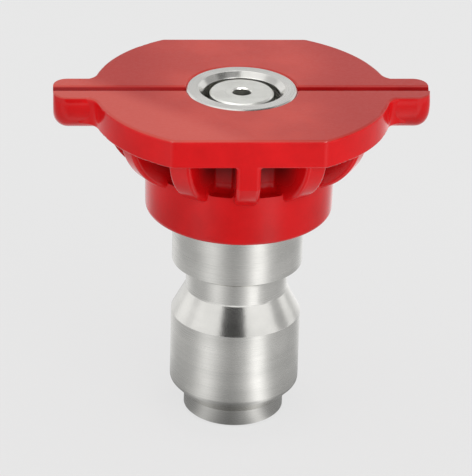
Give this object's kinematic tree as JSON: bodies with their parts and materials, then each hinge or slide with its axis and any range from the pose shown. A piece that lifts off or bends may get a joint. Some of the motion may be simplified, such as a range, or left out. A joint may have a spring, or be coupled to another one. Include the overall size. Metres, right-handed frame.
{
  "type": "quick-connect spray nozzle tip",
  "caption": "Push-in spray tip: a steel quick-connect plug with a ball-lock groove and a recessed jet orifice, in a ribbed plastic guard with finger wings and a V sight groove.",
  "frame": {"origin": "centre of the inlet end face of the plug", "axes": "+Z along the water way, from the inlet to the outlet; +X along the finger wings and the V groove"},
  "size_m": [0.0332, 0.0228, 0.0317],
  "materials": {
    "plug_steel": "turned stainless steel, satin",
    "orifice_steel": "hardened stainless steel, ground face",
    "vane_steel": "stamped stainless steel",
    "guard_plastic": "moulded red plastic, glossy sides and a duller top face"
  },
  "bodies": {
    "root": {"plug_body": "plug_steel", "orifice_insert": "orifice_steel", "flow_straightener": "vane_steel", "spray_guard": "guard_plastic"}
  },
  "joints": []
}
